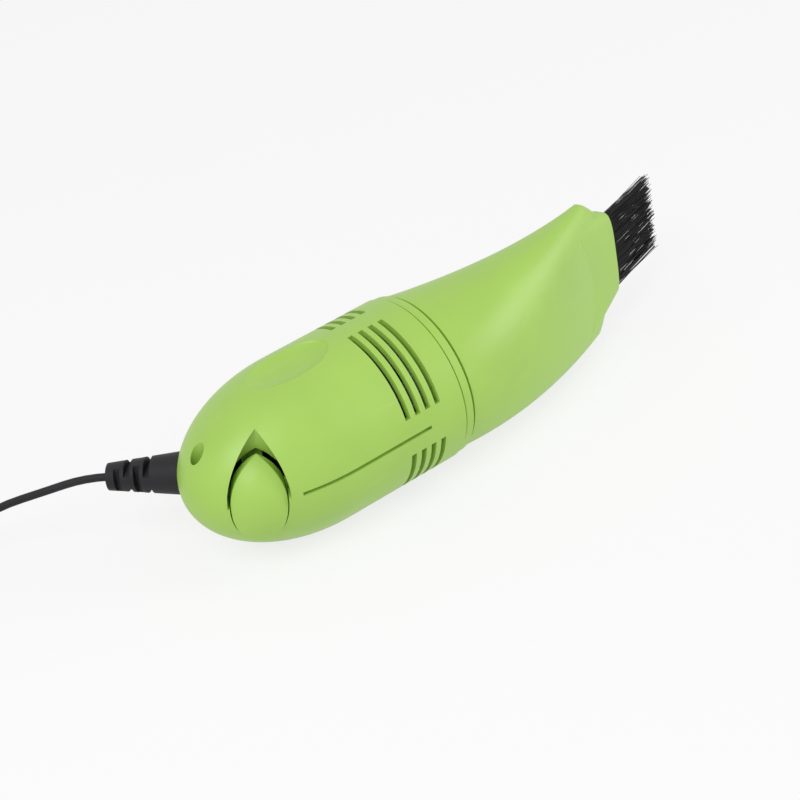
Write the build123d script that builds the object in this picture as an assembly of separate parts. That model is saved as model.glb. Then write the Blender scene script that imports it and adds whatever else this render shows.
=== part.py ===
from build123d import *
import math
import os

# Hand-held USB dust vacuum lying on its side, in millimetres, with Z up.
# X runs along the body to the nozzle, the housing's seam is level with the body's axis,
# and the origin is on the narrow flat along the bottom, on which the housing rests.

# Housing: a straight tube with a rounded tail, split along its axis
body_radius = 21.5
body_wall = 1.8
tail_stretch = 1.58
collar_x = 12.0
band_length = 2.6
band_step = 0.35
band_groove_width = 0.5
band_groove_depth = 0.4
rest_flat_depth = 0.18
seam_groove_width = 0.9
seam_groove_depth = 1.2
seam_groove_front = 13.0
seam_groove_back = 50.0

# Seats and ribs inside the housing, measured back from the collar
filter_seat_back = 8.2
mount_seat_back = 20.0
rib_width = 1.2
rib_height = 2.0
fit_gap = 0.1

# Air vents
vent_count = 4
vent_first = 9.8
vent_pitch = 3.03
vent_width = 1.5
vent_start_angle = 8.0
vent_end_angle = 77.0

# Finger dimples
dimple_back = 36.5
dimple_length = 25.0
dimple_width = 14.0
dimple_depth = 2.2

# Housing screw
screw_back = 64.0
screw_shank_radius = 1.1
screw_length = 10.0
screw_head_radius = 1.75
screw_head_height = 1.3
screw_seat_height = 3.0
screw_hole_gap = 0.15
screw_thread_gap = 0.02
screw_tip_room = 0.5
screw_boss_wall = 0.9
screw_drive_width = 0.7
screw_drive_depth = 0.7

# Nozzle: a flat bill that droops towards +Y and ends in a narrow snout
nozzle_step = 0.9
nozzle_wall = 1.6
nozzle_gap = 0.9
spigot_length = 6.0
spigot_wall = 1.5
bill_length = 66.5
bill_side_room = 2.0
bill_top_end = 4.0
bill_top_power = 1.72
bill_low_y = 7.5
bill_low_x = 51.7
bill_end_power = 2.8
bill_close_length = 7.0
bill_close_power = 1.3
bill_end_room = 0.8
cavity_end_room = 10.0
snout_angle = 19.0
snout_x = 69.6
snout_y = 6.9
snout_length = 17.0
snout_side_wall = 0.85
snout_flare = 4.8
snout_rim_half_height = 3.6
snout_root_half_height = 4.7
snout_power = 4.0
section_points = 24

# Brush in the snout
brush_side_wall = 0.35
brush_slot_height = 4.5
brush_slot_corner = 1.2
brush_holder_length = 10.0
brush_recess = 0.8
brush_gap = 0.08
air_slot_side = 1.8
air_slot_height = 1.3
air_slot_offset = 1.0
bristle_band_width = 21.6
bristle_taper = 0.955
bristle_band_height = 1.6
bristle_offset = 0.9
bristle_columns = 70
bristle_rows = 5
bristle_size = 0.17
bristle_length = 25.6
bristle_ragged = 0.7
bristle_backing = 1.5

# Filter
grid_thickness = 1.4
grid_rim = 3.0
grid_pitch = 4.4
grid_hole = 3.2
filter_thickness = 0.8

# Motor and its mount
motor_radius = 12.0
motor_length = 21.0
motor_wall = 0.9
motor_cap_thickness = 2.6
motor_boss_height = 1.4
bush_radius = 2.6
shaft_radius = 1.0
shaft_play = 0.03
magnet_thickness = 1.9
magnet_span = 130.0
armature_gap = 0.5
armature_end_gap = 4.6
commutator_radius = 3.0
commutator_length = 3.6
mount_thickness = 2.0
mount_screw_offset = 8.0
mount_screw_radius = 1.0
mount_screw_head_radius = 1.9
mount_screw_head_height = 1.2
motor_tab_width = 2.4
motor_tab_thickness = 0.5
motor_tab_length = 2.0
motor_tab_offset = 6.0

# Fan wheel
fan_clearance = 2.7
fan_plate = 1.2
fan_blade_height = 5.4
fan_blade_thickness = 1.0
fan_blade_bend = 12.0
fan_blade_root = 5.5
fan_blade_count = 9
fan_hub_radius = 3.2
fan_mount_gap = 2.4

# Power button in the tail
button_normal = -56.5
button_radius = 6.6
button_low_height = 10.4
button_drop = 0.6
button_tip_height = 10.6
button_tilt = 8.0
button_dome_radius = 13.5
button_dome_stretch = 1.02
button_dome_drop = 1.6
button_proud = 0.5
button_gap = 0.25
button_tip_gap = 0.25
button_depth = 6.9
button_travel = 1.5
button_ear_reach = 1.4
button_ear_height = 5.0
button_ear_thickness = 1.0
button_stem_radius = 1.9
button_stem_length = 2.0
button_pad = 4.6
button_pad_margin = 1.6
recess_flare = 0.9
recess_tip_height = 16.4
recess_rise = 80.0
recess_depth = 9.0
recess_pad = 7.0

# Switch behind the button
switch_width = 8.0
switch_height = 8.0
switch_depth = 5.0
switch_wall = 1.0
switch_plunger_radius = 1.2
switch_plunger_play = 0.08
switch_stop_gap = 0.5
switch_plunger_hidden = 1.2
switch_tab_width = 2.0
switch_tab_thickness = 0.5
switch_tab_length = 2.4
switch_tab_offset = 2.4
switch_post_width = 5.0
switch_motor_gap = 1.25

# Strain relief
relief_normal = 48.0
relief_length = 17.6
relief_root_radius = 5.2
relief_end_radius = 3.3
relief_seat_depth = 0.7
relief_neck_radius = 2.4
relief_flange_radius = 3.1
relief_flange_thickness = 1.2
relief_slot_first = 7.2
relief_slot_pitch = 2.5
relief_slot_width = 1.6
relief_slot_count = 4
relief_core_wall = 0.7

# Cord, from the strain relief to the coil and on to the plug
cord_diameter = 2.0
lead_diameter = 1.1
lead_spacing = 1.6
lead_stub = 2.0
coil_mid_radius = 11.2
coil_pitch = 2.56
coil_layers = 4
coil_layer_turns = 2.92

# USB plug
plug_neck_radius = 1.8
plug_neck_end_radius = 3.0
plug_neck_length = 5.0
plug_grip_width = 15.4
plug_grip_height = 7.6
plug_grip_corner = 2.0
plug_grip_length = 20.0
plug_shell_width = 12.0
plug_shell_height = 4.5
plug_shell_wall = 0.35
plug_shell_length = 18.7
plug_window_size = 2.2
plug_window_offset = 2.5
plug_window_back = 6.2
plug_tongue_height = 1.8
plug_tongue_back = 1.0
plug_contact_width = 1.0
plug_contact_height = 0.2
plug_contact_pitch = 2.5
plug_contact_back = 1.5
plug_contact_short = 2.6

# Places and sizes worked out from the others
axis_height = body_radius - rest_flat_depth
inner_radius = body_radius - body_wall
band_radius = body_radius - band_step
socket_radius = band_radius - body_wall
rib_radius = inner_radius - rib_height
tail_length = tail_stretch * body_radius
filter_seat = collar_x - filter_seat_back
mount_seat = collar_x - mount_seat_back
mount_back = mount_seat - mount_thickness
motor_back = mount_back - motor_length
cap_back = motor_back - motor_cap_thickness
fan_radius = inner_radius - fan_clearance
nozzle_radius = body_radius - nozzle_step
brush_slot_width = bristle_band_width + 2 * brush_side_wall
bristle_tip_width = bristle_band_width * bristle_taper
air_slot_width = bristle_band_width - 2 * air_slot_side
snout_rim_half_width = brush_slot_width / 2 + snout_side_wall
snout_root_half_width = snout_rim_half_width + snout_flare
bill_half_width = snout_root_half_width + bill_side_room
bill_end_half_width = snout_rim_half_width + bill_end_room
stem_end = -button_depth - button_ear_thickness - button_stem_length
plunger_show = button_travel + switch_stop_gap
switch_front = stem_end - plunger_show
switch_back = switch_front - switch_depth
big = 4 * (body_radius + tail_length + bill_length)
nodes = {}


def keep(name, shape):
    """Store one piece, raised from the body's axis to its height over the floor."""
    nodes[name] = Pos(0, 0, axis_height) * shape


def rod(x_from, x_to, radius):
    """A round bar on the body's axis."""
    return Pos((x_from + x_to) / 2, 0, 0) * Rot(Y=90) * Cylinder(radius, abs(x_to - x_from))


def tube(x_from, x_to, radius, bore):
    return rod(x_from, x_to, radius) - rod(x_from, x_to, bore)


def body_solid(inset):
    """The housing's round body, drawn in from its outer face by inset."""
    radius = body_radius - inset
    length = tail_length - inset
    tail = EllipticalCenterArc((tail_start, 0), length, radius, start_angle=90, arc_size=90)
    side = Polyline((tail_start - length, 0), (collar_x, 0), (collar_x, radius), (tail_start, radius))
    return revolve(make_face([tail, side]), Axis.X)


def tail_spot(normal):
    """Where the tail's outline has that normal: its direction, and its place from the tail's start."""
    away = math.radians(normal)
    out = Vector(-math.cos(away), math.sin(away))
    reach = math.hypot(tail_length * out.X, body_radius * out.Y)
    return out, Vector(tail_length**2 * out.X / reach, body_radius**2 * out.Y / reach)


# The tail starts where the switch behind the button just clears the motor
button_out, button_spot = tail_spot(button_normal)
switch_reach = button_spot.X + button_out.X * switch_back - button_out.Y * switch_width / 2
tail_start = cap_back - switch_motor_gap - switch_reach


def tail_plane(normal):
    """A plane on the tail at seam height: x along the seam, y up and z straight out of the housing."""
    out, spot = tail_spot(normal)
    return Plane(origin=spot + Vector(tail_start, 0), x_dir=(-out.Y, out.X, 0), z_dir=(out.X, out.Y, 0))


def tail_wall(plane):
    """How thick the tail's wall is along the plane's normal."""
    long_axis = tail_length - body_wall
    short_axis = body_radius - body_wall
    start = Vector((plane.origin.X - tail_start) / long_axis, plane.origin.Y / short_axis)
    inward = Vector(-plane.z_dir.X / long_axis, -plane.z_dir.Y / short_axis)
    half = start.dot(inward)
    return (-half - math.sqrt(half**2 - inward.dot(inward) * (start.dot(start) - 1))) / inward.dot(inward)


def teardrop(margin, tip_height):
    """The button's outline grown by a margin: round below, pointed above and leaning forward."""
    radius = button_radius + margin
    low = EllipticalCenterArc((0, 0), radius, button_low_height + margin, start_angle=180, arc_size=180)
    right = TangentArc((radius, 0), (0, tip_height), tangent=(0, 1))
    left = TangentArc((-radius, 0), (0, tip_height), tangent=(0, 1))
    return Rot(Z=-button_tilt) * make_face([low, right, left])


def oval(half_x, half_y, power):
    """A superellipse: round at a power of 2, and squarer above."""
    points = []
    for i in range(section_points):
        angle = 2 * math.pi * i / section_points
        across = math.cos(angle)
        up = math.sin(angle)
        points.append(
            (
                half_x * math.copysign(abs(across) ** (2 / power), across),
                half_y * math.copysign(abs(up) ** (2 / power), up),
            )
        )
    return make_face(Spline(points, periodic=True))


def link(points):
    """A thin lead along straight runs with an arc at each corner."""
    runs = [(Vector(b) - Vector(a)) for a, b in zip(points, points[1:])]
    radii = []
    for before, after in zip(runs, runs[1:]):
        half = math.radians(before.get_angle(after)) / 2
        radii.append(0.45 * min(before.length, after.length) / math.tan(half))
    path = FilletPolyline(points, radius=radii)
    return path, radii


def round_tube(path, start, heading, diameter):
    return sweep(Plane(origin=start, z_dir=heading) * Circle(diameter / 2), path=path)


# Housing
outer = body_solid(0)
band_back = collar_x - band_length
band_cut = tube(band_back, collar_x + 1, body_radius + 1, band_radius)
groove_radius = band_radius - band_groove_depth
band_cut += tube(band_back, band_back + band_groove_width, body_radius + 1, groove_radius)
cavity = body_solid(body_wall) - rod(filter_seat - rib_width, collar_x, body_radius)
cavity -= tube(mount_seat, mount_seat + rib_width, body_radius, rib_radius)
cavity -= tube(mount_back - rib_width, mount_back, body_radius, rib_radius)
cavity += rod(filter_seat - rib_width, filter_seat, rib_radius)
cavity += rod(filter_seat, collar_x + 1, socket_radius)
hollow = outer - band_cut - cavity

button_plane = tail_plane(button_normal)
button_base = button_plane * Pos(0, -button_drop, 0)
pad_outline = teardrop(button_pad_margin, recess_tip_height + 2 * button_pad_margin)
pad_prism = extrude(pad_outline, amount=3 * button_pad, both=True)
pad = button_base * pad_prism & (outer - body_solid(button_pad))
above_ears = Pos(0, button_ear_height / 2 + button_pad_margin + big / 2, 0) * Box(big, big, big)
pad += button_base * (pad_prism & above_ears) & (outer - body_solid(recess_pad))
hole_outline = teardrop(button_gap, button_tip_height + button_tip_gap)
button_hole = button_base * extrude(hole_outline, amount=3 * button_pad, both=True)
recess_mouth = Pos(0, 0, 1) * teardrop(recess_flare, recess_rise)
recess_slope = loft([Pos(0, 0, -recess_depth) * hole_outline, recess_mouth])
recess_prism = extrude(teardrop(recess_flare, recess_tip_height), amount=2 * recess_depth, both=True)
recess = button_base * (recess_slope & recess_prism)

relief_plane = tail_plane(relief_normal)
relief_seat = Cylinder(relief_root_radius + fit_gap, tail_length)
relief_cut = Pos(0, 0, tail_length / 2 - relief_seat_depth) * relief_seat
relief_cut += Cylinder(relief_neck_radius + fit_gap, 4 * body_wall)
flange_front = -tail_wall(relief_plane) - fit_gap
flange_back = flange_front - relief_flange_thickness
relief_cut += Pos(0, 0, flange_front - body_wall) * Cylinder(relief_flange_radius + fit_gap, 2 * body_wall)

screw_x = collar_x - screw_back
screw_bore = screw_head_radius + screw_hole_gap
boss = Pos(screw_x, 0, 0) * Cylinder(screw_bore + screw_boss_wall, 2 * body_radius) & outer
dimple_at = Pos(collar_x - dimple_back, 0, body_radius)
dimple = dimple_at * scale(Sphere(1), by=(dimple_length / 2, dimple_width / 2, dimple_depth))
backing = scale(
    Sphere(1), by=(dimple_length / 2 + body_wall, dimple_width / 2 + body_wall, dimple_depth + body_wall)
)
backing = (dimple_at * backing) & outer

vents = []
for i in range(vent_count):
    slit_x = collar_x - vent_first - i * vent_pitch
    slit = Pos(slit_x, body_radius, 0) * Rectangle(vent_width, 4 * body_wall)
    for start in (90 + vent_start_angle, 90 - vent_end_angle):
        sector = revolve(Rot(X=start) * slit, Axis.X, vent_end_angle - vent_start_angle)
        vents += [sector, mirror(sector, Plane.XY)]
flat = Pos(0, 0, -axis_height - body_radius / 2) * Box(big, body_radius, body_radius)
seam_middle = collar_x - (seam_groove_front + seam_groove_back) / 2
seam_slice = Box(seam_groove_back - seam_groove_front, big, seam_groove_width)
seam_slice = Pos(seam_middle, 0, 0) * seam_slice
seam_groove = (outer - body_solid(seam_groove_depth)) & seam_slice

blank = hollow + pad + boss + backing + mirror(backing, Plane.XY)
blank = blank - [dimple, mirror(dimple, Plane.XY), relief_plane * relief_cut, flat, seam_groove] - vents
left_shell = split(blank, Plane.XY, keep=Keep.TOP) - recess - button_hole
right_shell = split(blank, Plane.XY, keep=Keep.BOTTOM) - button_hole

screw_at = Pos(screw_x, 0, 0)
left_shell -= screw_at * Pos(0, 0, screw_seat_height + body_radius / 2) * Cylinder(screw_bore, body_radius)
left_shell -= screw_at * Cylinder(screw_shank_radius + screw_hole_gap, 2 * screw_seat_height)
pilot_depth = screw_length - screw_seat_height + screw_tip_room
pilot = Cylinder(screw_shank_radius + screw_thread_gap, pilot_depth)
right_shell -= screw_at * Pos(0, 0, -pilot_depth / 2) * pilot

# Switch, on the button's own axis, held between two posts of the housing
switch_at = button_base * Pos(0, 0, (switch_front + switch_back) / 2)
switch_block = Box(switch_width, switch_height, switch_depth)
post = switch_at * (Box(switch_post_width, 4 * body_radius, switch_depth) - switch_block)
post = post & body_solid(body_wall / 2)
left_shell += split(post, Plane.XY, keep=Keep.TOP)
right_shell += split(post, Plane.XY, keep=Keep.BOTTOM)
keep("left_shell", left_shell)
keep("right_shell", right_shell)

plunger_bore = switch_plunger_radius + switch_plunger_play
room_loss = 2 * switch_wall
switch_room = Box(switch_width - room_loss, switch_height - room_loss, switch_depth - room_loss)
plunger_hole = Pos(0, 0, switch_depth / 2) * Cylinder(plunger_bore, 3 * switch_wall)
switch_body = switch_block - switch_room - plunger_hole
keep("switch_body", switch_at * switch_body)
plunger_length = plunger_show + switch_wall + switch_plunger_hidden
plunger_middle = stem_end - plunger_length / 2
plunger = Cylinder(switch_plunger_radius, plunger_length)
keep("switch_plunger", button_base * Pos(0, 0, plunger_middle) * plunger)
switch_tab = Box(switch_tab_width, switch_tab_thickness, switch_tab_length)
tab_at = Pos(0, 0, -(switch_depth + switch_tab_length) / 2)
tab_pair = Pos(0, switch_tab_offset, 0) * switch_tab + Pos(0, -switch_tab_offset, 0) * switch_tab
keep("switch_terminals", switch_at * tab_at * tab_pair)

# Power button: a domed teardrop with two ears behind the housing's wall
cap = Pos(0, 0, -button_depth) * extrude(teardrop(0, button_tip_height), amount=button_dome_radius)
dome_height = button_dome_radius * button_dome_stretch
dome = scale(Sphere(1), by=(button_dome_radius, dome_height, button_dome_radius))
cap = cap & Pos(0, -button_dome_drop, button_proud - button_dome_radius) * dome
ear_width = 2 * (button_radius + button_ear_reach)
ear = Box(ear_width, button_ear_height, button_ear_thickness)
ear = Pos(0, 0, -button_depth - button_ear_thickness / 2) * ear
stem_middle = stem_end + button_stem_length / 2
stem = Pos(0, 0, stem_middle) * Cylinder(button_stem_radius, button_stem_length)
keep("power_button", button_base * (cap + ear + stem))

# Housing screw
screw_top = screw_seat_height + screw_head_height
screw_middle = screw_seat_height - screw_length / 2
screw = Pos(0, 0, screw_middle) * Cylinder(screw_shank_radius, screw_length)
head_middle = screw_seat_height + screw_head_height / 2
screw += Pos(0, 0, head_middle) * Cylinder(screw_head_radius, screw_head_height)
drive = Box(2 * screw_head_radius - screw_drive_width, screw_drive_width, 2 * screw_drive_depth)
screw -= Pos(0, 0, screw_top) * (drive + Rot(Z=90) * drive)
keep("housing_screw", screw_at * screw)

# Filter disc on its grid, against the front rib
grid = rod(filter_seat, filter_seat + grid_thickness, socket_radius - fit_gap)
reach = socket_radius - grid_rim - grid_hole / 2
steps = int(reach / grid_pitch)
holes = []
for row in range(-steps, steps + 1):
    for column in range(-steps, steps + 1):
        if math.hypot(row, column) * grid_pitch <= reach:
            spot = Pos(filter_seat + grid_thickness / 2, row * grid_pitch, column * grid_pitch)
            holes.append(spot * Box(3 * grid_thickness, grid_hole, grid_hole))
keep("filter_grid", grid - holes)
filter_front = filter_seat + grid_thickness + filter_thickness
keep("filter", rod(filter_seat + grid_thickness, filter_front, socket_radius - fit_gap))

# Motor mount and motor
bush_length = motor_wall + motor_boss_height
boss_front = mount_back + motor_boss_height
mount = tube(mount_back, mount_seat, inner_radius - fit_gap, bush_radius + fit_gap)
can = rod(motor_back, mount_back, motor_radius)
can -= rod(motor_back, mount_back - motor_wall, motor_radius - motor_wall)
can -= rod(motor_back, mount_back, bush_radius)
screws = []
for side in (-1, 1):
    at = Pos(mount_seat, side * mount_screw_offset, 0) * Rot(Y=90)
    shank_length = mount_thickness + motor_wall
    shank = at * Pos(0, 0, -shank_length / 2) * Cylinder(mount_screw_radius, shank_length)
    head = Cylinder(mount_screw_head_radius, mount_screw_head_height)
    head = at * Pos(0, 0, mount_screw_head_height / 2) * head
    mount -= shank
    can -= shank
    screws.append(shank + head)
keep("motor_mount", mount)
keep("motor_can", can)
keep("motor_screws", Compound(screws))
keep("front_bush", tube(mount_back - motor_wall, boss_front, bush_radius, shaft_radius + shaft_play))

end_cap = tube(cap_back, motor_back, motor_radius, bush_radius)
tabs = []
for side in (-1, 1):
    tab_length = motor_tab_length + motor_cap_thickness
    tab = Pos(motor_back - tab_length / 2, side * motor_tab_offset, 0)
    tab = tab * Box(tab_length, motor_tab_thickness, motor_tab_width)
    end_cap -= tab
    tabs.append(tab)
keep("motor_end_cap", end_cap)
keep("motor_terminals", Compound(tabs))
keep("rear_bush", tube(cap_back, motor_back, bush_radius, shaft_radius + shaft_play))

magnet_face = motor_radius - motor_wall
magnet_front = mount_back - motor_wall - armature_end_gap / 2
magnet_rear = motor_back + armature_end_gap / 2
magnet_profile = Pos((magnet_front + magnet_rear) / 2, magnet_face - magnet_thickness / 2, 0)
magnet_profile = magnet_profile * Rectangle(magnet_front - magnet_rear, magnet_thickness)
magnet = revolve(Rot(X=-magnet_span / 2) * magnet_profile, Axis.X, magnet_span)
keep("motor_magnets", Compound([magnet, mirror(magnet, Plane.XZ)]))

armature_front = mount_back - motor_wall - armature_end_gap
armature_rear = motor_back + armature_end_gap
armature_radius = magnet_face - magnet_thickness - armature_gap
fan_back = mount_seat + fan_mount_gap
fan_front = fan_back + fan_plate + fan_blade_height
keep("armature", tube(armature_rear, armature_front, armature_radius, shaft_radius))
commutator_back = armature_rear - commutator_length
keep("commutator", tube(commutator_back, armature_rear, commutator_radius, shaft_radius))
keep("motor_shaft", rod(cap_back, fan_front, shaft_radius))

# Fan wheel with curved blades
ring = Circle(fan_blade_bend + fan_blade_thickness / 2) - Circle(fan_blade_bend - fan_blade_thickness / 2)
sweep_band = Circle(fan_radius) - Circle(fan_blade_root)
middle = (fan_blade_root + fan_radius) / 2
blade = (Pos(middle - fan_blade_root, -fan_blade_bend) * ring) & sweep_band
blade = blade & Pos(fan_radius, 0) * Rectangle(2 * fan_radius, 2 * fan_radius)
wheel = extrude(Circle(fan_radius), amount=fan_plate)
wheel += extrude(Circle(fan_hub_radius), amount=fan_plate + fan_blade_height)
blade = extrude(blade, amount=fan_plate + fan_blade_height)
wheel += [Rot(Z=i * 360 / fan_blade_count) * blade for i in range(fan_blade_count)]
wheel -= extrude(Circle(shaft_radius), amount=fan_plate + fan_blade_height)
keep("fan_wheel", Pos(fan_back, 0, 0) * Rot(Y=90) * wheel)

# Nozzle: the bill, its snout and the spigot that fits in the housing's mouth
nozzle_rear = collar_x + nozzle_gap


def bill_section(x, inset):
    """The bill's section at a distance x from its rear, drawn in by inset."""
    share = x / bill_length
    top = -nozzle_radius + (nozzle_radius + bill_top_end) * share**bill_top_power
    low = bill_low_y + (nozzle_radius - bill_low_y) * (1 - x / bill_low_x) ** 2
    width = nozzle_radius + (bill_half_width - nozzle_radius) * share
    past = max(0, x - bill_length + bill_close_length) / bill_close_length
    width += (bill_end_half_width - width) * past**bill_close_power
    power = 2 + (bill_end_power - 2) * share
    place = Plane(origin=(nozzle_rear + x, (top + low) / 2, 0), x_dir=(0, 1, 0), z_dir=(1, 0, 0))
    return place * oval((low - top) / 2 - inset, width - inset, power)


straight_bill = bill_length - bill_close_length
bill_steps = [straight_bill * i / 4 for i in range(5)]
bill = loft([bill_section(x, 0) for x in bill_steps])
close_steps = [straight_bill + bill_close_length * i / 3 for i in range(4)]
bill += loft([bill_section(x, 0) for x in close_steps])
chamber_end = bill_length - cavity_end_room
chamber_steps = [nozzle_wall + (chamber_end - nozzle_wall) * i / 4 for i in range(5)]
chamber = loft([bill_section(x, nozzle_wall) for x in chamber_steps])

lean = math.radians(snout_angle)
snout_plane = Plane(
    origin=(collar_x + snout_x, snout_y, 0),
    x_dir=(-math.sin(lean), math.cos(lean), 0),
    z_dir=(math.cos(lean), math.sin(lean), 0),
)
rim = oval(snout_rim_half_height, snout_rim_half_width, snout_power)
root = oval(snout_root_half_height, snout_root_half_width, snout_power)
snout = snout_plane * loft([Pos(0, 0, -snout_length) * root, rim])
slot_outline = RectangleRounded(brush_slot_height, brush_slot_width, brush_slot_corner)
brush_slot = snout_plane * Pos(0, 0, 1) * extrude(slot_outline, amount=-big / 4)
brush_slot = brush_slot & Pos(nozzle_rear + chamber_end + big / 2 - nozzle_wall, 0, 0) * Box(big, big, big)

spigot_radius = socket_radius - fit_gap
spigot_bore = spigot_radius - spigot_wall
spigot = rod(collar_x - spigot_length, nozzle_rear + nozzle_wall, spigot_radius)
nozzle = bill + snout + spigot - chamber - brush_slot
nozzle -= rod(collar_x - spigot_length, nozzle_rear + 2 * nozzle_wall, spigot_bore)
keep("nozzle", nozzle)

# Brush: a holder in the snout's slot, with an air slot beside the bristles
holder_width = brush_slot_width - 2 * brush_gap
holder_height = brush_slot_height - 2 * brush_gap
holder_outline = RectangleRounded(holder_height, holder_width, brush_slot_corner)
holder = extrude(holder_outline, amount=-brush_holder_length)
air_slot = Pos(air_slot_offset, 0) * Rectangle(air_slot_height, air_slot_width)
holder -= extrude(air_slot, amount=-brush_holder_length)
band = Pos(-bristle_offset, 0) * Rectangle(bristle_band_height, bristle_band_width)
backing_slice = extrude(band, amount=-bristle_backing)
holder -= backing_slice
brush_at = snout_plane * Pos(0, 0, -brush_recess)
keep("brush_holder", brush_at * holder)

strands = []
squeeze = bristle_tip_width / bristle_band_width
for column in range(bristle_columns):
    for row in range(bristle_rows):
        across = ((column + 0.5) / bristle_columns - 0.5) * (bristle_band_width - bristle_size)
        depth = -bristle_offset + ((row + 0.5) / bristle_rows - 0.5) * (bristle_band_height - bristle_size)
        reach = bristle_length - bristle_ragged * (0.5 + 0.5 * math.sin(7.3 * column + 2.9 * row))
        foot = Vector(depth, across, -bristle_backing / 2)
        tip = Vector(depth, across * squeeze, reach)
        strand = extrude(Rectangle(bristle_size, bristle_size), amount=(tip - foot).length)
        strands.append(Plane(origin=foot, x_dir=(1, 0, 0), z_dir=tip - foot) * strand)
keep("bristles", brush_at * backing_slice.fuse(*strands))

# Strain relief: a seat in the tail, a slotted taper outside and a flange inside
relief = Pos(0, 0, (relief_length - relief_seat_depth) / 2) * Cone(
    relief_root_radius, relief_end_radius, relief_length + relief_seat_depth
)
relief_core = cord_diameter / 2 + relief_core_wall
for i in range(relief_slot_count):
    slot = Box(2 * relief_root_radius, relief_root_radius, relief_slot_width)
    slot_at = Pos(0, 0, relief_slot_first + i * relief_slot_pitch) * Rot(Z=90 * (i % 2))
    relief -= slot_at * Pos(0, relief_core + relief_root_radius / 2, 0) * slot
    relief -= slot_at * Pos(0, -relief_core - relief_root_radius / 2, 0) * slot
neck_length = -relief_seat_depth - flange_front
relief += Pos(0, 0, flange_front + neck_length / 2) * Cylinder(relief_neck_radius, neck_length)
flange_middle = (flange_front + flange_back) / 2
relief += Pos(0, 0, flange_middle) * Cylinder(relief_flange_radius, relief_flange_thickness)
keep("strain_relief", relief_plane * relief)

# Leads inside the housing, each leaving its terminal straight
gland_upper = relief_plane * Pos(0, lead_spacing / 2, flange_back)
gland_lower = relief_plane * Pos(0, -lead_spacing / 2, flange_back)
tab_end = -(switch_depth / 2 + switch_tab_length)
tab_upper = switch_at * Pos(0, switch_tab_offset, tab_end)
tab_lower = switch_at * Pos(0, -switch_tab_offset, tab_end)
tab_tip = cap_back - motor_tab_length
tab_middle = cap_back - motor_tab_length / 2
lead_routes = {
    "lead_in": [
        gland_upper.position,
        (gland_upper * Pos(0, 0, -lead_stub)).position,
        (gland_upper * Pos(-3.0, 1.6, -2 * lead_stub)).position,
        (tab_upper * Pos(-2.4, 1.2, -2 * lead_stub)).position,
        (tab_upper * Pos(0, 0, -lead_stub)).position,
        tab_upper.position,
    ],
    "lead_return": [
        gland_lower.position,
        (gland_lower * Pos(0, 0, -lead_stub)).position,
        Vector(tab_tip - 3 * lead_stub, motor_tab_offset + 0.8, -1.2),
        Vector(tab_tip - lead_stub, motor_tab_offset, 0),
        Vector(tab_tip, motor_tab_offset, 0),
    ],
    "lead_switched": [
        tab_lower.position,
        (tab_lower * Pos(0, 0, -lead_stub)).position,
        (tab_lower * Pos(1.5, -4.0, -lead_stub)).position,
        Vector(tab_middle, -motor_tab_offset, -3.4 * lead_stub),
        Vector(tab_middle, -motor_tab_offset, -motor_tab_width / 2),
    ],
}
for name, points in lead_routes.items():
    path, radii = link(points)
    keep(name, round_tube(path, points[0], points[1] - points[0], lead_diameter))
    print(name, "radii", [round(r, 1) for r in radii])

# Cord: down from the strain relief to the floor, into the coil, and on to the plug
cord_radius = cord_diameter / 2
cord_out = Vector(relief_plane.z_dir)
cord_start = (relief_plane * Pos(0, 0, relief_length)).position + Vector(0, 0, axis_height)
route = [
    cord_start,
    cord_start + cord_out * 6,
    Vector(-74.0, 38.0, 18.1),
    Vector(-83.0, 47.4, 14.5),
    Vector(-92.5, 54.8, 8.3),
    Vector(-103.5, 59.7, 2.9),
    Vector(-115.4, 61.4, cord_radius),
    Vector(-125.3, 60.0, cord_radius),
]
path, radii = link(route)
nodes["cord"] = round_tube(path, route[0], route[1] - route[0], cord_diameter)
print("cord radii", [round(r, 1) for r in radii], "length", round(path.length, 1))
section = math.pi * cord_radius**2
print("cord volume over section times length", nodes["cord"].volume / (section * path.length))

# Coil: layers that spiral in and out, with a climb in the half turn between two layers
coil_rate = coil_pitch / (2 * math.pi)
coil_spread = coil_pitch * coil_layer_turns / 2
coil_turns = coil_layers * coil_layer_turns + (coil_layers - 1) / 2
coil_heading = route[-1] - route[-2]
entry = Vector(route[-1]) + coil_heading.normalized() * cord_diameter
entry_radius = coil_mid_radius + coil_spread
entry_angle = math.atan2(coil_heading.Y, coil_heading.X) - math.pi / 2
entry_angle -= math.atan(coil_rate / entry_radius)
coil_centre = entry - Vector(math.cos(entry_angle), math.sin(entry_angle), 0) * entry_radius


def coil_point(turns):
    """A point of the coil's middle line, so many turns from its start."""
    layer_step = coil_layer_turns + 0.5
    layer = min(int(turns / layer_step), coil_layers - 1)
    within = turns - layer * layer_step
    inward = 1 if layer % 2 == 0 else -1
    climb = max(0, within - coil_layer_turns)
    radius = coil_mid_radius + inward * (coil_spread - coil_pitch * min(within, coil_layer_turns))
    radius -= inward * coil_rate * math.sin(2 * math.pi * climb)
    height = coil_pitch * (layer + 0.5 - 0.5 * math.cos(2 * math.pi * climb))
    angle = entry_angle + 2 * math.pi * turns
    return coil_centre + Vector(radius * math.cos(angle), radius * math.sin(angle), height)


def coil_tangent(turns):
    step = 0.0005
    return (coil_point(turns + step) - coil_point(max(turns - step, 0))).normalized()


def biarc(start, leave, end, arrive):
    """Two tangent arcs from one point and direction to the next."""
    span = end - start
    both = leave + arrive
    spare = 2 * (1 - leave.dot(arrive))
    reach = (-span.dot(both) + math.sqrt(span.dot(both) ** 2 + spare * span.dot(span))) / spare
    first = start + leave * reach
    second = end - arrive * reach
    joint = (first + second) * 0.5
    return [
        TangentArc(start, joint, tangent=leave),
        TangentArc(joint, end, tangent=(second - first).normalized()),
    ]


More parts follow.
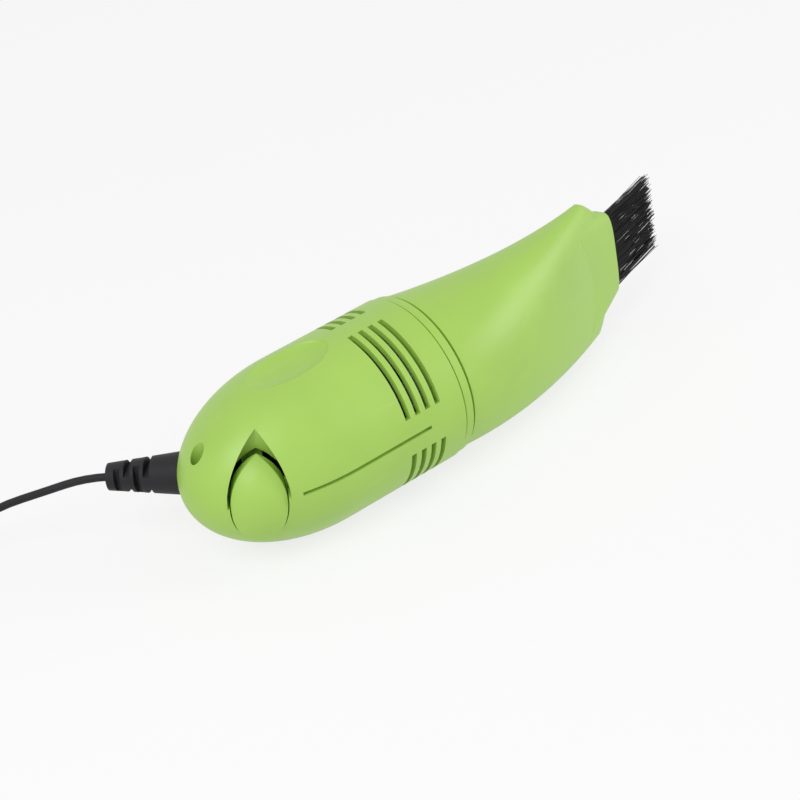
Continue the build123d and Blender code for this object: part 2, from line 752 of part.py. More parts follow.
stations = []
for layer in range(coil_layers):
    foot = layer * (coil_layer_turns + 0.5)
    stations += [foot + coil_layer_turns * i / 12 for i in range(13)]
    if layer < coil_layers - 1:
        stations.append(foot + coil_layer_turns + 0.25)
points = [coil_point(t) for t in stations]
headings = [coil_tangent(t) for t in stations]
headings[0] = coil_heading.normalized()
coil_exit = points[-1] + headings[-1] * cord_diameter
coil_edges = [Line(route[-1], points[0])]
for i in range(len(points) - 1):
    coil_edges += biarc(points[i], headings[i], points[i + 1], headings[i + 1])
coil_edges.append(Line(points[-1], coil_exit))
coil_path = Wire(coil_edges)
nodes["cord_coil"] = round_tube(coil_path, route[-1], coil_heading, cord_diameter)
fine = [coil_point(coil_turns * i / 1200) for i in range(1201)]
apart = 60
nearest = min(
    (fine[i] - fine[j]).length for i in range(0, len(fine), 2) for j in range(i + apart, len(fine), 2)
)
print("coil gap", round(nearest - cord_diameter, 2))
print("coil length", round(coil_path.length, 1), "turns", round(coil_turns, 2))
print("coil volume over section times length", nodes["cord_coil"].volume / (section * coil_path.length))

# Plug: a moulded grip, its shell, tongue and contacts
plug_height = plug_grip_height / 2
tail_route = [
    coil_exit,
    coil_exit + headings[-1] * 5.5,
    Vector(-144.2, 36.6, 6.6),
    Vector(-146.8, 30.3, plug_height),
    Vector(-149.5, 24.9, plug_height),
]
path, radii = link(tail_route)
nodes["cord_tail"] = round_tube(path, tail_route[0], tail_route[1] - tail_route[0], cord_diameter)
print("tail radii", [round(r, 1) for r in radii], "length", round(path.length, 1))
plug_heading = tail_route[-1] - tail_route[-2]
plug_plane = Plane(origin=tail_route[-1], x_dir=(plug_heading.Y, -plug_heading.X, 0), z_dir=plug_heading)
grip = loft([Circle(plug_neck_radius), Pos(0, 0, plug_neck_length) * Circle(plug_neck_end_radius)])
grip += Pos(0, 0, plug_neck_length) * extrude(
    RectangleRounded(plug_grip_width, plug_grip_height, plug_grip_corner), amount=plug_grip_length
)
nodes["usb_grip"] = plug_plane * grip
shell_at = plug_plane * Pos(0, 0, plug_neck_length + plug_grip_length)
shell = extrude(Rectangle(plug_shell_width, plug_shell_height), amount=plug_shell_length)
bore_width = plug_shell_width - 2 * plug_shell_wall
bore_height = plug_shell_height - 2 * plug_shell_wall
shell -= extrude(Rectangle(bore_width, bore_height), amount=plug_shell_length)
for side in (-1, 1):
    window = Pos(side * plug_window_offset, 0, plug_shell_length - plug_window_back)
    shell -= window * Box(plug_window_size, 2 * plug_shell_height, plug_window_size)
nodes["usb_shell"] = shell_at * shell
tongue_y = -bore_height / 2 + plug_tongue_height / 2
tongue_length = plug_shell_length - plug_tongue_back
tongue = extrude(Pos(0, tongue_y) * Rectangle(bore_width, plug_tongue_height), amount=tongue_length)
nodes["usb_tongue"] = shell_at * tongue
contacts = []
for i in range(4):
    contact_length = tongue_length - (plug_contact_back if i in (0, 3) else plug_contact_short)
    contact_y = -bore_height / 2 + plug_tongue_height + plug_contact_height / 2
    foot = Pos((i - 1.5) * plug_contact_pitch, contact_y)
    contact = foot * Rectangle(plug_contact_width, plug_contact_height)
    contacts.append(extrude(contact, amount=contact_length))
nodes["usb_contacts"] = shell_at * Compound(contacts)

os.makedirs("parts", exist_ok=True)
for name, shape in nodes.items():
    export_step(shape, f"parts/{name}.step")
    print(name, round(shape.volume, 1), len(shape.solids()))
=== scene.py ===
import math

import bmesh
import bpy
from mathutils import Matrix, Vector


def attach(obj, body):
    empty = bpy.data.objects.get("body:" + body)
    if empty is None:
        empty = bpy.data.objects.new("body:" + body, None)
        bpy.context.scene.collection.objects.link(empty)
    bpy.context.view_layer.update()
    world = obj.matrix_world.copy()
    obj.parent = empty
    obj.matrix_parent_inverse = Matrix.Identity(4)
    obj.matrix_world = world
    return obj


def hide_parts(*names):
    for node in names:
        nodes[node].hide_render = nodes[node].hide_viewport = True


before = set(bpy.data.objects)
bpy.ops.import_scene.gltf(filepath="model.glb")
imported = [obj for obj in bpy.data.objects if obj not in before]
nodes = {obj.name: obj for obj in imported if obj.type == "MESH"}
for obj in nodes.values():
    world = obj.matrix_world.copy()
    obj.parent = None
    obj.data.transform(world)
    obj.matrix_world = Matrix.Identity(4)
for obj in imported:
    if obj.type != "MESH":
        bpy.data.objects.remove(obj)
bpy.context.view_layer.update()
scene = bpy.context.scene
scene.view_settings.view_transform = "Standard"
axisHeight = 0.02132  # the body's axis over the table
print("frame loaded:", len(nodes), "nodes")

# Camera
photoView = {
    "azimuth": -33.527,
    "elevation": 30.428,
    "roll": -10.727,
    "distance": 0.61544,
    "aim": (0.0, 0.0, axisHeight),
    "lens": 114.74,
    "shiftX": 0.0268,
    "shiftY": -0.0042,
}


def placeCamera(view):
    az = math.radians(view["azimuth"])
    el = math.radians(view["elevation"])
    roll = math.radians(view["roll"])
    back = Vector((math.sin(az) * math.cos(el), -math.cos(az) * math.cos(el), math.sin(el)))
    level = Vector((math.cos(az), math.sin(az), 0))
    upright = back.cross(level)
    right = level * math.cos(roll) + upright * math.sin(roll)
    up = upright * math.cos(roll) - level * math.sin(roll)
    data = bpy.data.cameras.new("photoCamera")
    data.lens = view["lens"]
    data.sensor_width = 36
    data.shift_x = view["shiftX"]
    data.shift_y = view["shiftY"]
    data.clip_start = 0.01
    camera = bpy.data.objects.new("photoCamera", data)
    scene.collection.objects.link(camera)
    turn = Matrix((right, up, back)).transposed()
    place = Vector(view["aim"]) + back * view["distance"]
    camera.matrix_world = Matrix.Translation(place) @ turn.to_4x4()
    scene.camera = camera


placeCamera(photoView)
print("camera placed")


# Small helpers for node trees
def addNode(tree, kind, **values):
    node = tree.nodes.new(kind)
    for key, value in values.items():
        setattr(node, key, value)
    return node


def newGroup(name, kind, inputs, outputs):
    group = bpy.data.node_groups.new(name, kind)
    for label, socketType, default in inputs:
        socket = group.interface.new_socket(label, in_out="INPUT", socket_type=socketType)
        if default is not None:
            socket.default_value = default
    for label, socketType in outputs:
        group.interface.new_socket(label, in_out="OUTPUT", socket_type=socketType)
    start = group.nodes.new("NodeGroupInput")
    end = group.nodes.new("NodeGroupOutput")
    return group, start, end


# What each skin group puts out
skinOutputs = [
    ("Colour", "NodeSocketColor"),
    ("Roughness", "NodeSocketFloat"),
    ("Height", "NodeSocketFloat"),
]

# Moulded plastic: fine spark grain, slow drift of colour, and faint rubbed streaks
mouldedNoise = {
    "grainDetail": 3.0,
    "driftScale": 45.0,
    "driftDetail": 2.0,
    "driftRange": (0.3, 0.7),
    "streakStretch": (60.0, 700.0, 700.0),
    "streakDetail": 4.0,
    "streakRange": (0.58, 0.78),
    "roughnessSwing": 0.05,
}


def makeMouldedGroup(noise):
    group, start, end = newGroup(
        "mouldedSkin",
        "ShaderNodeTree",
        [
            ("Colour", "NodeSocketColor", (0.5, 0.5, 0.5, 1)),
            ("Worn Colour", "NodeSocketColor", (0.6, 0.6, 0.6, 1)),
            ("Grain Scale", "NodeSocketFloat", 2600.0),
            ("Drift", "NodeSocketFloat", 0.06),
            ("Rub", "NodeSocketFloat", 0.25),
            ("Base Roughness", "NodeSocketFloat", 0.42),
        ],
        skinOutputs,
    )
    link = group.links.new
    place = addNode(group, "ShaderNodeTexCoord")
    grain = addNode(group, "ShaderNodeTexNoise")
    grain.inputs["Detail"].default_value = noise["grainDetail"]
    link(place.outputs["Object"], grain.inputs["Vector"])
    link(start.outputs["Grain Scale"], grain.inputs["Scale"])
    drift = addNode(group, "ShaderNodeTexNoise")
    drift.inputs["Scale"].default_value = noise["driftScale"]
    drift.inputs["Detail"].default_value = noise["driftDetail"]
    link(place.outputs["Object"], drift.inputs["Vector"])
    stretch = addNode(group, "ShaderNodeMapping")
    stretch.inputs["Scale"].default_value = noise["streakStretch"]
    link(place.outputs["Object"], stretch.inputs["Vector"])
    streak = addNode(group, "ShaderNodeTexNoise")
    streak.inputs["Scale"].default_value = 1.0
    streak.inputs["Detail"].default_value = noise["streakDetail"]
    link(stretch.outputs["Vector"], streak.inputs["Vector"])
    patch = addNode(group, "ShaderNodeMapRange")
    patch.inputs["From Min"].default_value = noise["streakRange"][0]
    patch.inputs["From Max"].default_value = noise["streakRange"][1]
    link(streak.outputs["Fac"], patch.inputs["Value"])
    rubbed = addNode(group, "ShaderNodeMath", operation="MULTIPLY")
    link(patch.outputs["Result"], rubbed.inputs[0])
    link(start.outputs["Rub"], rubbed.inputs[1])
    swing = addNode(group, "ShaderNodeMapRange")
    swing.inputs["From Min"].default_value = noise["driftRange"][0]
    swing.inputs["From Max"].default_value = noise["driftRange"][1]
    swing.inputs["To Min"].default_value = -1.0
    link(drift.outputs["Fac"], swing.inputs["Value"])
    amount = addNode(group, "ShaderNodeMath", operation="MULTIPLY_ADD")
    link(swing.outputs["Result"], amount.inputs[0])
    link(start.outputs["Drift"], amount.inputs[1])
    amount.inputs[2].default_value = 1.0
    shade = addNode(group, "ShaderNodeHueSaturation")
    link(start.outputs["Colour"], shade.inputs["Color"])
    link(amount.outputs["Value"], shade.inputs["Value"])
    worn = addNode(group, "ShaderNodeMix", data_type="RGBA")
    link(rubbed.outputs["Value"], worn.inputs["Factor"])
    link(shade.outputs["Color"], worn.inputs["A"])
    link(start.outputs["Worn Colour"], worn.inputs["B"])
    rough = addNode(group, "ShaderNodeMath", operation="MULTIPLY_ADD")
    link(swing.outputs["Result"], rough.inputs[0])
    rough.inputs[1].default_value = noise["roughnessSwing"]
    link(start.outputs["Base Roughness"], rough.inputs[2])
    link(worn.outputs["Result"], end.inputs["Colour"])
    link(rough.outputs["Value"], end.inputs["Roughness"])
    link(grain.outputs["Fac"], end.inputs["Height"])
    return group


# Metal: fine drawn lines with a slow change of polish
drawnNoise = {
    "lineStretch": (0.08, 1.0, 1.0),
    "lineDetail": 3.0,
    "cloudScale": 220.0,
    "roughnessSwing": 0.12,
}


def makeDrawnGroup(noise):
    group, start, end = newGroup(
        "drawnMetal",
        "ShaderNodeTree",
        [
            ("Colour", "NodeSocketColor", (0.6, 0.6, 0.6, 1)),
            ("Dark Colour", "NodeSocketColor", (0.4, 0.4, 0.4, 1)),
            ("Line Scale", "NodeSocketFloat", 3000.0),
            ("Base Roughness", "NodeSocketFloat", 0.28),
        ],
        skinOutputs,
    )
    link = group.links.new
    place = addNode(group, "ShaderNodeTexCoord")
    stretch = addNode(group, "ShaderNodeMapping")
    stretch.inputs["Scale"].default_value = noise["lineStretch"]
    link(place.outputs["Object"], stretch.inputs["Vector"])
    lines = addNode(group, "ShaderNodeTexNoise")
    lines.inputs["Detail"].default_value = noise["lineDetail"]
    link(stretch.outputs["Vector"], lines.inputs["Vector"])
    link(start.outputs["Line Scale"], lines.inputs["Scale"])
    cloud = addNode(group, "ShaderNodeTexNoise")
    cloud.inputs["Scale"].default_value = noise["cloudScale"]
    link(place.outputs["Object"], cloud.inputs["Vector"])
    tone = addNode(group, "ShaderNodeMix", data_type="RGBA")
    link(cloud.outputs["Fac"], tone.inputs["Factor"])
    link(start.outputs["Dark Colour"], tone.inputs["A"])
    link(start.outputs["Colour"], tone.inputs["B"])
    rough = addNode(group, "ShaderNodeMath", operation="MULTIPLY_ADD")
    link(cloud.outputs["Fac"], rough.inputs[0])
    rough.inputs[1].default_value = noise["roughnessSwing"]
    link(start.outputs["Base Roughness"], rough.inputs[2])
    link(tone.outputs["Result"], end.inputs["Colour"])
    link(rough.outputs["Value"], end.inputs["Roughness"])
    link(lines.outputs["Fac"], end.inputs["Height"])
    return group


mouldedSkin = makeMouldedGroup(mouldedNoise)
drawnMetal = makeDrawnGroup(drawnNoise)


def finishMaterial(name, group, values, bump, metallic=0.0, specular=0.5, sheen=0.0):
    material = bpy.data.materials.new(name)
    material.use_nodes = True
    tree = material.node_tree
    shader = tree.nodes["Principled BSDF"]
    shader.inputs["Metallic"].default_value = metallic
    shader.inputs["Specular IOR Level"].default_value = specular
    shader.inputs["Sheen Weight"].default_value = sheen
    skin = addNode(tree, "ShaderNodeGroup", node_tree=group)
    for label, value in values.items():
        skin.inputs[label].default_value = value
    relief = addNode(tree, "ShaderNodeBump")
    relief.inputs["Strength"].default_value = bump["strength"]
    relief.inputs["Distance"].default_value = bump["depth"]
    tree.links.new(skin.outputs["Colour"], shader.inputs["Base Color"])
    tree.links.new(skin.outputs["Roughness"], shader.inputs["Roughness"])
    tree.links.new(skin.outputs["Height"], relief.inputs["Height"])
    tree.links.new(relief.outputs["Normal"], shader.inputs["Normal"])
    return material


def rgba(red, green, blue):
    return (red, green, blue, 1.0)


plasticBump = {"strength": 0.25, "depth": 0.00006}
rubberBump = {"strength": 0.45, "depth": 0.00012}
metalBump = {"strength": 0.2, "depth": 0.00003}

# Green satin plastic of the housing, nozzle, button and brush holder
greenFinish = {
    "Colour": rgba(0.36, 0.59, 0.098),
    "Worn Colour": rgba(0.46, 0.68, 0.2),
    "Grain Scale": 2600.0,
    "Drift": 0.035,
    "Rub": 0.16,
    "Base Roughness": 0.4,
}
housingGreen = finishMaterial("housingGreen", mouldedSkin, greenFinish, plasticBump)
nozzleGreen = finishMaterial("nozzleGreen", mouldedSkin, greenFinish | {"Rub": 0.2}, plasticBump)
buttonGreen = finishMaterial(
    "buttonGreen", mouldedSkin, greenFinish | {"Base Roughness": 0.46, "Rub": 0.1}, plasticBump
)
brushGreen = finishMaterial(
    "brushGreen", mouldedSkin, greenFinish | {"Colour": rgba(0.4, 0.63, 0.16)}, plasticBump
)

# Black rubber, black fibre and black moulded plastic
rubberFinish = {
    "Colour": rgba(0.019, 0.0185, 0.021),
    "Worn Colour": rgba(0.036, 0.036, 0.038),
    "Grain Scale": 1800.0,
    "Drift": 0.2,
    "Rub": 0.35,
    "Base Roughness": 0.52,
}
rubberBlack = finishMaterial("rubberBlack", mouldedSkin, rubberFinish, rubberBump, specular=0.2)
capBlack = finishMaterial("capBlack", mouldedSkin, rubberFinish | {"Base Roughness": 0.4}, plasticBump)
fibreBlack = finishMaterial(
    "fibreBlack",
    mouldedSkin,
    rubberFinish
    | {
        "Colour": rgba(0.008, 0.0078, 0.0092),
        "Worn Colour": rgba(0.02, 0.02, 0.022),
        "Grain Scale": 6000.0,
        "Base Roughness": 0.42,
    },
    plasticBump,
    specular=0.12,
)

# White moulded plastic, felt, red lead and the tie's dark strap
whiteFinish = {
    "Colour": rgba(0.74, 0.74, 0.72),
    "Worn Colour": rgba(0.6, 0.6, 0.57),
    "Grain Scale": 2200.0,
    "Drift": 0.03,
    "Rub": 0.2,
    "Base Roughness": 0.45,
}
whitePlastic = finishMaterial("whitePlastic", mouldedSkin, whiteFinish, plasticBump)
filterFelt = finishMaterial(
    "filterFelt",
    mouldedSkin,
    whiteFinish | {"Grain Scale": 5200.0, "Drift": 0.12, "Rub": 0.5, "Base Roughness": 0.85},
    {"strength": 0.8, "depth": 0.0003},
    sheen=0.3,
)
leadRed = finishMaterial(
    "leadRed",
    mouldedSkin,
    whiteFinish | {"Colour": rgba(0.42, 0.02, 0.018), "Worn Colour": rgba(0.5, 0.05, 0.04)},
    plasticBump,
)
strapGrey = finishMaterial(
    "strapGrey",
    mouldedSkin,
    rubberFinish | {"Colour": rgba(0.03, 0.03, 0.032), "Worn Colour": rgba(0.07, 0.07, 0.07)},
    rubberBump,
)

# Metals
steelPlated = finishMaterial(
    "steelPlated",
    drawnMetal,
    {"Colour": rgba(0.66, 0.66, 0.68), "Dark Colour": rgba(0.5, 0.5, 0.52), "Base Roughness": 0.22},
    metalBump,
    metallic=1.0,
)
brassBright = finishMaterial(
    "brassBright",
    drawnMetal,
    {"Colour": rgba(0.8, 0.6, 0.28), "Dark Colour": rgba(0.58, 0.4, 0.16), "Base Roughness": 0.2},
    metalBump,
    metallic=1.0,
)
magnetGrey = finishMaterial(
    "magnetGrey",
    drawnMetal,
    {"Colour": rgba(0.09, 0.09, 0.095), "Dark Colour": rgba(0.05, 0.05, 0.055), "Base Roughness": 0.5},
    rubberBump,
    metallic=0.4,
)
copperWound = finishMaterial(
    "copperWound",
    drawnMetal,
    {
        "Colour": rgba(0.62, 0.27, 0.13),
        "Dark Colour": rgba(0.3, 0.12, 0.06),
        "Line Scale": 5000.0,
        "Base Roughness": 0.3,
    },
    {"strength": 0.6, "depth": 0.0002},
    metallic=0.9,
)

nodeFinish = {
    "left_shell": housingGreen,
    "right_shell": housingGreen,
    "power_button": buttonGreen,
    "nozzle": nozzleGreen,
    "brush_holder": brushGreen,
    "strain_relief": rubberBlack,
    "usb_grip": rubberBlack,
    "usb_shell": steelPlated,
    "usb_tongue": whitePlastic,
    "usb_contacts": brassBright,
    "housing_screw": steelPlated,
    "filter_grid": whitePlastic,
    "filter": filterFelt,
    "motor_mount": capBlack,
    "motor_can": steelPlated,
    "motor_screws": steelPlated,
    "motor_end_cap": capBlack,
    "motor_terminals": brassBright,
    "front_bush": brassBright,
    "rear_bush": brassBright,
    "motor_magnets": magnetGrey,
    "armature": copperWound,
    "commutator": brassBright,
    "motor_shaft": steelPlated,
    "fan_wheel": capBlack,
    "switch_body": capBlack,
    "switch_plunger": whitePlastic,
    "switch_terminals": brassBright,
    "lead_in": leadRed,
    "lead_return": rubberBlack,
    "lead_switched": leadRed,
    "cord": rubberBlack,
    "cord_coil": rubberBlack,
    "cord_tail": rubberBlack,
    "bristles": fibreBlack,
}
for name, material in nodeFinish.items():
    for slot in nodes[name].material_slots:
        slot.material = material
print("finishes set on", len(nodeFinish), "nodes")

# Cord: the visible run, then the coil and the short run to the plug, as one spline
cordRun = {
    "diameter": 0.002,
    "length": 1.025,
    "route": [
        (-0.062593, 0.025435, 0.02132),
        (-0.066608, 0.029894, 0.02132),
        (-0.0740, 0.0380, 0.0181),
        (-0.0830, 0.0474, 0.0145),
        (-0.0925, 0.0548, 0.0083),
        (-0.1035, 0.0597, 0.0029),
        (-0.1154, 0.0614, 0.0010),
        (-0.1253, 0.0600, 0.0010),
    ],
    "tail": [
        (-0.1442, 0.0366, 0.0066),
        (-0.1468, 0.0303, 0.0038),
        (-0.1495, 0.0249, 0.0038),
    ],
    "coilExit": 0.0075,
    "coilRadius": 0.0112,
    "pitch": 0.00256,
    "layers": 4,
    "layerTurns": 2.92,
    "pointsPerTurn": 16,
}


def makeCord(run):
    pitch = run["pitch"]
    rate = pitch / (2 * math.pi)
    spread = pitch * run["layerTurns"] / 2
    step = run["layerTurns"] + 0.5
    turns = run["layers"] * run["layerTurns"] + (run["layers"] - 1) / 2
    last = Vector(run["route"][-1])
    heading = (last - Vector(run["route"][-2])).normalized()
    entry = last + heading * run["diameter"]
    outside = run["coilRadius"] + spread
    startAngle = math.atan2(heading.y, heading.x) - math.pi / 2 - math.atan(rate / outside)
    centre = entry - Vector((math.cos(startAngle), math.sin(startAngle), 0)) * outside
    swell = 1 / math.cos(math.pi / run["pointsPerTurn"])  # the spline cuts inside its points
    points = [Vector(p) for p in run["route"]]
    count = round(turns * run["pointsPerTurn"])
    for i in range(count + 1):
        turn = turns * i / count
        layer = min(int(turn / step), run["layers"] - 1)
        within = turn - layer * step
        inward = 1 if layer % 2 == 0 else -1
        climb = max(0, within - run["layerTurns"])
        radius = run["coilRadius"] + inward * (spread - pitch * min(within, run["layerTurns"]))
        radius = (radius - inward * rate * math.sin(2 * math.pi * climb)) * swell
        height = pitch * (layer + 0.5 - 0.5 * math.cos(2 * math.pi * climb))
        angle = startAngle + 2 * math.pi * turn
        points.append(centre + Vector((radius * math.cos(angle), radius * math.sin(angle), height)))
    leave = (points[-1] - points[-2]).normalized()
    points.append(points[-1] + leave * run["coilExit"])
    points += [Vector(p) for p in run["tail"]]
    data = bpy.data.curves.new("cord", "CURVE")
    data.dimensions = "3D"
    data.bevel_depth = run["diameter"] / 2
    data.bevel_resolution = 3
    data.resolution_u = 4
    data.use_fill_caps = True
    spline = data.splines.new("NURBS")
    spline.points.add(len(points) - 1)
    for point, place in zip(spline.points, points):
        point.co = (place.x, place.y, place.z, 1)
    spline.order_u = 3
    spline.use_endpoint_u = True
    data.materials.append(rubberBlack)
    cord = bpy.data.objects.new("cordLine", data)
    scene.collection.objects.link(cord)
    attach(cord, "housing")
    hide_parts("cord", "cord_coil", "cord_tail")
    return cord, centre


cordLine, coilCentre = makeCord(cordRun)
print("cord laid, coil centre", [round(c, 4) for c in coilCentre])


def linkMesh(name, mesh, material, body):
    mesh.materials.clear()
    mesh.materials.append(material)
    piece = bpy.data.objects.new(name, mesh)
    scene.collection.objects.link(piece)
    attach(piece, body)
    return piece


# Strap that ties the coil
coilTie = {
    "angle": 310.0,
    "width": 0.0032,
    "thick": 0.0005,
    "inner": 0.0062,
    "outer": 0.0159,
    "top": 0.0099,
    "corner": 0.0016,
    "cornerSteps": 6,
}


def makeTie(tie, centre):
    bendRadius = tie["corner"]
    low = tie["thick"] / 2
    high = tie["top"]
    path = []
    for at, start in (
        ((tie["outer"] - bendRadius, high - bendRadius), 0),
        ((tie["inner"] + bendRadius, high - bendRadius), 90),
        ((tie["inner"] + bendRadius, low + bendRadius), 180),
        ((tie["outer"] - bendRadius, low + bendRadius), 270),
    ):
        for i in range(tie["cornerSteps"] + 1):
            bend = math.radians(start + 90 / tie["cornerSteps"] * i)
            path.append((at[0] + bendRadius * math.cos(bend), at[1] + bendRadius * math.sin(bend), bend))
    bm = bmesh.new()
    rings = []
    for out, up, bend in path:
        ring = []
        for side, skin in ((-1, -1), (1, -1), (1, 1), (-1, 1)):
            grow = skin * tie["thick"] / 2
            across = side * tie["width"] / 2
            corner = (out + grow * math.cos(bend), across, up + grow * math.sin(bend))
            ring.append(bm.verts.new(corner))
        rings.append(ring)
    for ring, other in zip(rings, rings[1:] + rings[:1]):
        for i in range(4):
            j = (i + 1) % 4
            bm.faces.new((ring[i], ring[j], other[j], other[i]))
    bmesh.ops.recalc_face_normals(bm, faces=bm.faces)
    turn = Matrix.Rotation(math.radians(tie["angle"]), 4, "Z")
    bm.transform(Matrix.Translation((centre.x, centre.y, 0)) @ turn)
    mesh = bpy.data.meshes.new("coilTie")
    bm.to_mesh(mesh)
    bm.free()
    return linkMesh("coilTie", mesh, strapGrey, "housing")


tiePiece = makeTie(coilTie, coilCentre)
print("coil tied")

# Bristles: rows of thin fibres that lean a little and end raggedly
bristleBand = {
    "snout": (0.0816, 0.0069, axisHeight),
    "lean": 19.0,
    "recess": 0.0008,
    "offset": -0.0009,
    "width": 0.0213,
    "depth": 0.0014,
    "columns": 84,
    "rows": 5,
    "length": 0.0254,
    "radius": 0.00009,
    "sides": 6,
    "segments": 3,
    "taper": 0.75,
    "jitter": 0.00012,
    "squeeze": 0.955,
    "ragged": 0.045,
    "stray": 0.03,
    "seed": 7,
}


def makeBristles(band):
    tree, start, end = newGroup(
        "bristleRows",
        "GeometryNodeTree",
        [
            ("Width", "NodeSocketFloat", band["width"]),
            ("Depth", "NodeSocketFloat", band["depth"]),
            ("Columns", "NodeSocketInt", band["columns"]),
            ("Rows", "NodeSocketInt", band["rows"]),
            ("Length", "NodeSocketFloat", band["length"]),
            ("Radius", "NodeSocketFloat", band["radius"]),
            ("Ragged", "NodeSocketFloat", band["ragged"]),
            ("Stray", "NodeSocketFloat", band["stray"]),
            ("Seed", "NodeSocketInt", band["seed"]),
        ],
        [("Geometry", "NodeSocketGeometry")],
    )
    link = tree.links.new
    grid = addNode(tree, "GeometryNodeMeshGrid")
    link(start.outputs["Depth"], grid.inputs["Size X"])
    link(start.outputs["Width"], grid.inputs["Size Y"])
    link(start.outputs["Rows"], grid.inputs["Vertices X"])
    link(start.outputs["Columns"], grid.inputs["Vertices Y"])
    fibre = addNode(tree, "GeometryNodeMeshCone")
    fibre.inputs["Vertices"].default_value = band["sides"]
    fibre.inputs["Side Segments"].default_value = band["segments"]
    link(start.outputs["Radius"], fibre.inputs["Radius Bottom"])
    thin = addNode(tree, "ShaderNodeMath", operation="MULTIPLY")
    thin.inputs[1].default_value = band["taper"]
    link(start.outputs["Radius"], thin.inputs[0])
    link(thin.outputs["Value"], fibre.inputs["Radius Top"])
    link(start.outputs["Length"], fibre.inputs["Depth"])
    shuffle = addNode(tree, "FunctionNodeRandomValue", data_type="FLOAT_VECTOR")
    shuffle.inputs["Min"].default_value = (-band["jitter"], -band["jitter"], 0)
    shuffle.inputs["Max"].default_value = (band["jitter"], band["jitter"], 0)
    link(start.outputs["Seed"], shuffle.inputs["Seed"])
    loosen = addNode(tree, "GeometryNodeSetPosition")
    link(grid.outputs["Mesh"], loosen.inputs["Geometry"])
    link(shuffle.outputs["Value"], loosen.inputs["Offset"])
    tilt = addNode(tree, "FunctionNodeRandomValue", data_type="FLOAT_VECTOR")
    limit = addNode(tree, "ShaderNodeCombineXYZ")
    link(start.outputs["Stray"], limit.inputs["X"])
    link(start.outputs["Stray"], limit.inputs["Y"])
    below = addNode(tree, "ShaderNodeVectorMath", operation="SCALE")
    below.inputs["Scale"].default_value = -1.0
    link(limit.outputs["Vector"], below.inputs[0])
    link(below.outputs["Vector"], tilt.inputs["Min"])
    link(limit.outputs["Vector"], tilt.inputs["Max"])
    nextSeed = addNode(tree, "FunctionNodeIntegerMath", operation="ADD")
    nextSeed.inputs[1].default_value = 1
    link(start.outputs["Seed"], nextSeed.inputs[0])
    link(nextSeed.outputs["Value"], tilt.inputs["Seed"])
    cut = addNode(tree, "FunctionNodeRandomValue", data_type="FLOAT")
    shortest = addNode(tree, "ShaderNodeMath", operation="SUBTRACT")
    shortest.inputs[0].default_value = 1.0
    link(start.outputs["Ragged"], shortest.inputs[1])
    link(shortest.outputs["Value"], cut.inputs[2])
    cut.inputs[3].default_value = 1.0
    link(start.outputs["Seed"], cut.inputs["Seed"])
    size = addNode(tree, "ShaderNodeCombineXYZ")
    size.inputs["X"].default_value = 1.0
    size.inputs["Y"].default_value = 1.0
    link(cut.outputs[1], size.inputs["Z"])
    where = addNode(tree, "GeometryNodeInputPosition")
    split = addNode(tree, "ShaderNodeSeparateXYZ")
    link(where.outputs["Position"], split.inputs["Vector"])
    gather = addNode(tree, "ShaderNodeMath", operation="MULTIPLY")
    gather.inputs[1].default_value = (1 - band["squeeze"]) / band["length"]
    link(split.outputs["Y"], gather.inputs[0])
    pull = addNode(tree, "ShaderNodeCombineXYZ")
    link(gather.outputs["Value"], pull.inputs["X"])
    lean = addNode(tree, "ShaderNodeVectorMath", operation="ADD")
    link(pull.outputs["Vector"], lean.inputs[0])
    link(tilt.outputs["Value"], lean.inputs[1])
    plant = addNode(tree, "GeometryNodeInstanceOnPoints")
    link(loosen.outputs["Geometry"], plant.inputs["Points"])
    link(fibre.outputs["Mesh"], plant.inputs["Instance"])
    link(lean.outputs["Vector"], plant.inputs["Rotation"])
    link(size.outputs["Vector"], plant.inputs["Scale"])
    real = addNode(tree, "GeometryNodeRealizeInstances")
    link(plant.outputs["Instances"], real.inputs["Geometry"])
    dress = addNode(tree, "GeometryNodeSetMaterial")
    dress.inputs["Material"].default_value = fibreBlack
    link(real.outputs["Geometry"], dress.inputs["Geometry"])
    link(dress.outputs["Geometry"], end.inputs["Geometry"])
    carrier = bpy.data.objects.new("bristleCarrier", bpy.data.meshes.new("bristleCarrier"))
    scene.collection.objects.link(carrier)
    rows = carrier.modifiers.new("rows", "NODES")
    rows.node_group = tree
    for item in tree.interface.items_tree:
        if item.in_out == "INPUT" and item.name.lower() in band:
            rows[item.identifier] = band[item.name.lower()]
    grown = carrier.evaluated_get(bpy.context.evaluated_depsgraph_get())
    mesh = bpy.data.meshes.new_from_object(grown)
    bpy.data.objects.remove(carrier)
    heading = math.radians(band["lean"])
    out = Vector((math.cos(heading), math.sin(heading), 0))
    across = Vector((0, 0, 1))
    thickness = across.cross(out)
    root = Vector(band["snout"]) - out * band["recess"] + thickness * band["offset"]
    turn = Matrix((thickness, -across, out)).transposed().to_4x4()
    mesh.transform(Matrix.Translation(root) @ turn)
    mesh.name = "bristleTuft"
    return mesh


bristles = linkMesh("bristleTuft", makeBristles(bristleBand), fibreBlack, "brush")
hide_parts("bristles")
print("bristles grown:", len(bristles.data.polygons), "faces")

# Table, light and backdrop
stageLook = {"tableSize": 4.0, "tableGrey": 0.86, "worldStrength": 0.54, "shadowShare": 0.22}


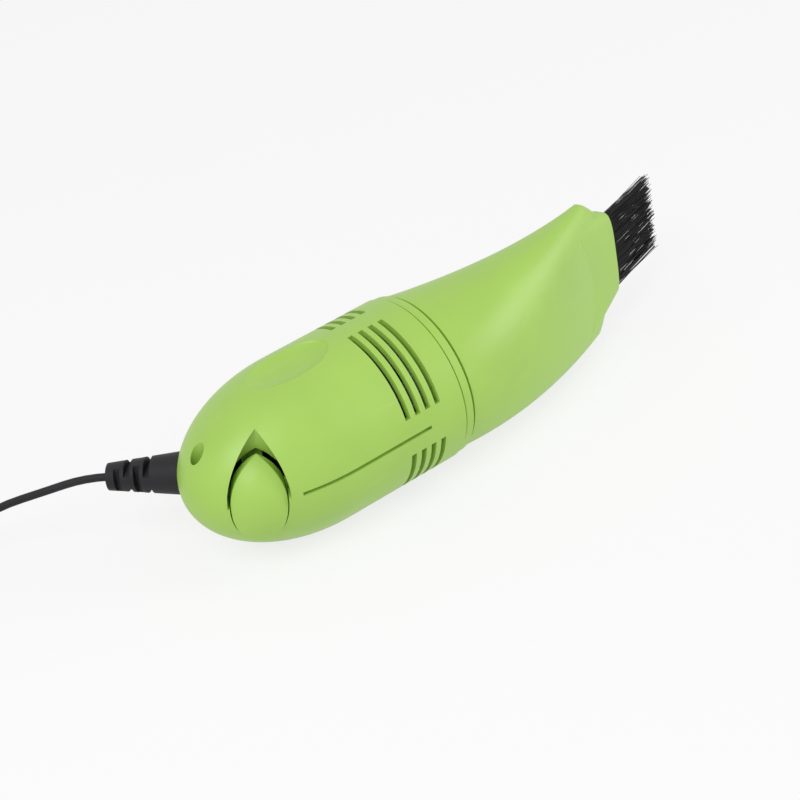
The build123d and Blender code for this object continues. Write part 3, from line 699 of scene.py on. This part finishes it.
# Rays that meet plain white: straight from the camera, or mirrored or passed on by a surface
def seenRays(tree):
    rays = addNode(tree, "ShaderNodeLightPath")
    sharp = addNode(tree, "ShaderNodeMath", operation="ADD")
    seen = addNode(tree, "ShaderNodeMath", operation="ADD", use_clamp=True)
    tree.links.new(rays.outputs["Is Camera Ray"], sharp.inputs[0])
    tree.links.new(rays.outputs["Is Glossy Ray"], sharp.inputs[1])
    tree.links.new(sharp.outputs["Value"], seen.inputs[0])
    tree.links.new(rays.outputs["Is Transmission Ray"], seen.inputs[1])
    return seen.outputs["Value"]


def makeTable(look):
    bm = bmesh.new()
    bmesh.ops.create_grid(bm, x_segments=1, y_segments=1, size=look["tableSize"])
    mesh = bpy.data.meshes.new("table")
    bm.to_mesh(mesh)
    bm.free()
    table = bpy.data.objects.new("table", mesh)
    scene.collection.objects.link(table)
    material = bpy.data.materials.new("tableWhite")
    material.use_nodes = True
    tree = material.node_tree
    tree.nodes.clear()
    out = addNode(tree, "ShaderNodeOutputMaterial")
    cloth = addNode(tree, "ShaderNodeBsdfDiffuse")
    cloth.inputs["Color"].default_value = rgba(look["tableGrey"], look["tableGrey"], look["tableGrey"])
    glow = addNode(tree, "ShaderNodeEmission")
    share = addNode(tree, "ShaderNodeMath", operation="MULTIPLY")
    share.inputs[1].default_value = 1 - look["shadowShare"]
    mix = addNode(tree, "ShaderNodeMixShader")
    link = tree.links.new
    link(seenRays(tree), share.inputs[0])
    link(share.outputs["Value"], mix.inputs["Fac"])
    link(cloth.outputs["BSDF"], mix.inputs[1])
    link(glow.outputs["Emission"], mix.inputs[2])
    link(mix.outputs["Shader"], out.inputs["Surface"])
    mesh.materials.append(material)


def makeWorld(look):
    world = bpy.data.worlds.new("studio")
    scene.world = world
    world.use_nodes = True
    tree = world.node_tree
    tree.nodes.clear()
    out = addNode(tree, "ShaderNodeOutputWorld")
    soft = addNode(tree, "ShaderNodeBackground")
    soft.inputs["Color"].default_value = rgba(1, 1, 1)
    soft.inputs["Strength"].default_value = look["worldStrength"]
    plain = addNode(tree, "ShaderNodeBackground")
    plain.inputs["Color"].default_value = rgba(1, 1, 1)
    mix = addNode(tree, "ShaderNodeMixShader")
    link = tree.links.new
    link(seenRays(tree), mix.inputs["Fac"])
    link(soft.outputs["Background"], mix.inputs[1])
    link(plain.outputs["Background"], mix.inputs[2])
    link(mix.outputs["Shader"], out.inputs["Surface"])


def addLamp(name, place, aim, size, power):
    data = bpy.data.lights.new(name, "AREA")
    data.shape = "DISK"
    data.size = size
    data.energy = power
    lamp = bpy.data.objects.new(name, data)
    scene.collection.objects.link(lamp)
    away = Vector(place) - Vector(aim)
    lamp.location = place
    lamp.rotation_euler = away.to_track_quat("Z", "Y").to_euler()


lamps = {
    "keyLamp": {"place": (-0.5, -0.3, 0.65), "size": 0.5, "power": 3.4},
    "fillLamp": {"place": (0.7, -0.45, 0.25), "size": 0.5, "power": 2.2},
}
makeTable(stageLook)
makeWorld(stageLook)
for name, lamp in lamps.items():
    addLamp(name, lamp["place"], (0, 0, axisHeight), lamp["size"], lamp["power"])
print("stage and lamps set")

bpy.context.view_layer.update()
